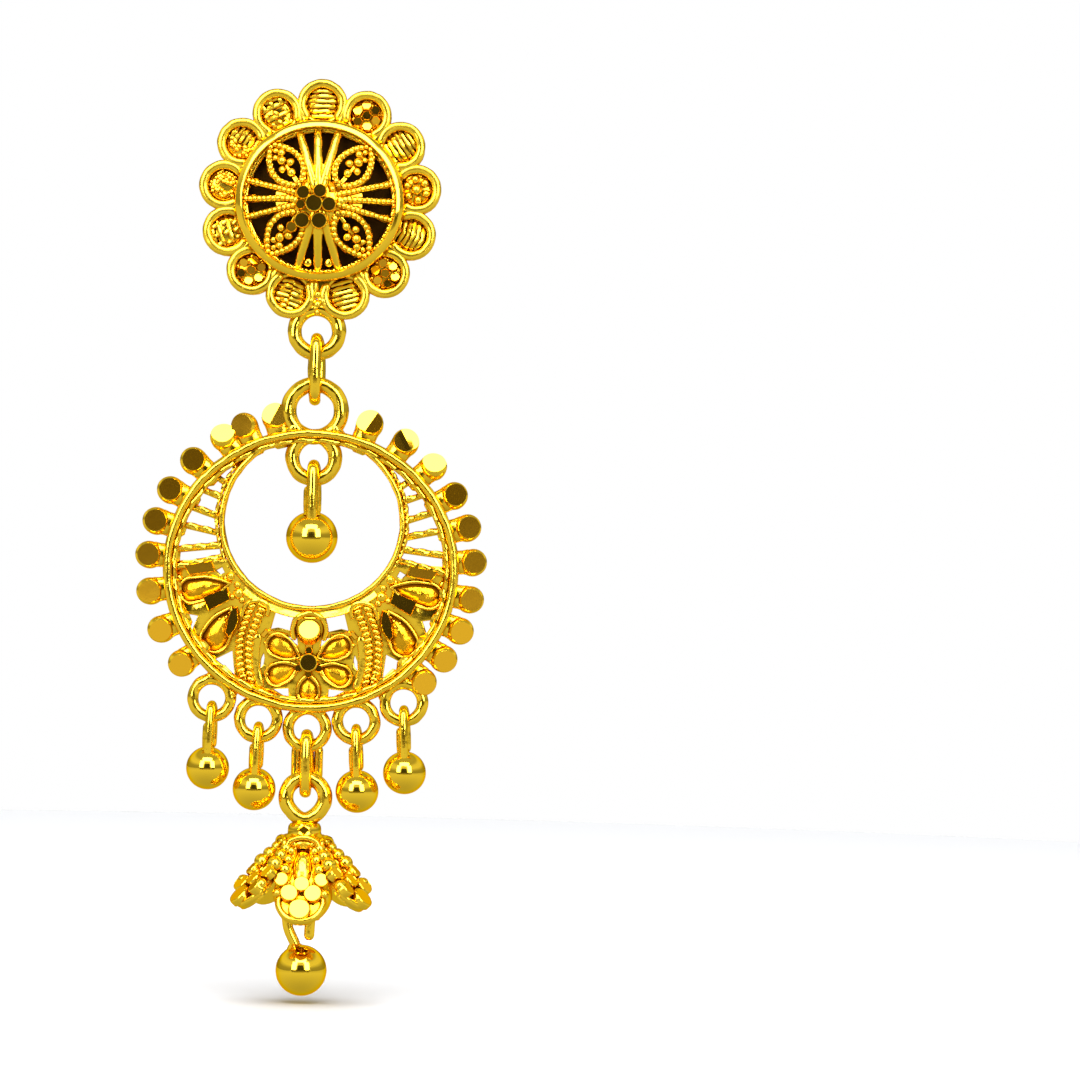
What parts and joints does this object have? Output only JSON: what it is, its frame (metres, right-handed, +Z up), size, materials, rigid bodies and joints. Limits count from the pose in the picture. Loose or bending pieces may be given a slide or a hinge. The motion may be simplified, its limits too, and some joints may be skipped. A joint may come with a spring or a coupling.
{
  "type": "chandbali earring",
  "caption": "Drop earring with a round flower stud, an open crescent pendant hung with ball drops, and a bell-shaped flower drop below it.",
  "frame": {"origin": "centre of the ear post where it leaves the back of the stud", "axes": "+Z up, the front of the earring faces -Y, the ear post points along +Y, +X to the viewer's right"},
  "size_m": [0.0242, 0.0158, 0.0639],
  "materials": {
    "cast_gold": "gold-plated cast brass, bright, with diamond-cut facets",
    "polished_gold": "gold-plated brass, polished",
    "gold_wire": "gold-plated brass wire, bright",
    "dark_ground": "darkened plated brass, satin"
  },
  "bodies": {
    "stud": {"stud_flower": "cast_gold", "stud_dome": "polished_gold", "stud_ground_plate": "dark_ground", "ear_post": "gold_wire"},
    "link": {"connector_link": "gold_wire"},
    "crescent": {"crescent_frame": "cast_gold", "centre_ball_drop": "polished_gold", "ball_drop_far_left": "polished_gold", "ball_drop_near_left": "polished_gold", "ball_drop_near_right": "polished_gold", "ball_drop_far_right": "polished_gold"},
    "bell_hanger": {"bell_link": "gold_wire"},
    "bell": {"bell_flower": "cast_gold", "bottom_ball_drop": "polished_gold"}
  },
  "joints": [
    {"name": "link_swing", "type": "hinge", "parent": "stud", "child": "link", "pos_m": [0, -0.0009, -0.0106], "axis": [1, 0, 0], "range_deg": [-60, 60]},
    {"name": "crescent_swing", "type": "hinge", "parent": "link", "child": "crescent", "pos_m": [0, -0.0009, -0.01378], "axis": [0, 1, 0], "range_deg": [-60, 60]},
    {"name": "bell_link_swing", "type": "hinge", "parent": "crescent", "child": "bell_hanger", "pos_m": [0, -0.0009, -0.03803], "axis": [1, 0, 0], "range_deg": [-45, 45]},
    {"name": "bell_swing", "type": "hinge", "parent": "bell_hanger", "child": "bell", "pos_m": [0, -0.0009, -0.04116], "axis": [0, 1, 0], "range_deg": [-22, 22]}
  ]
}
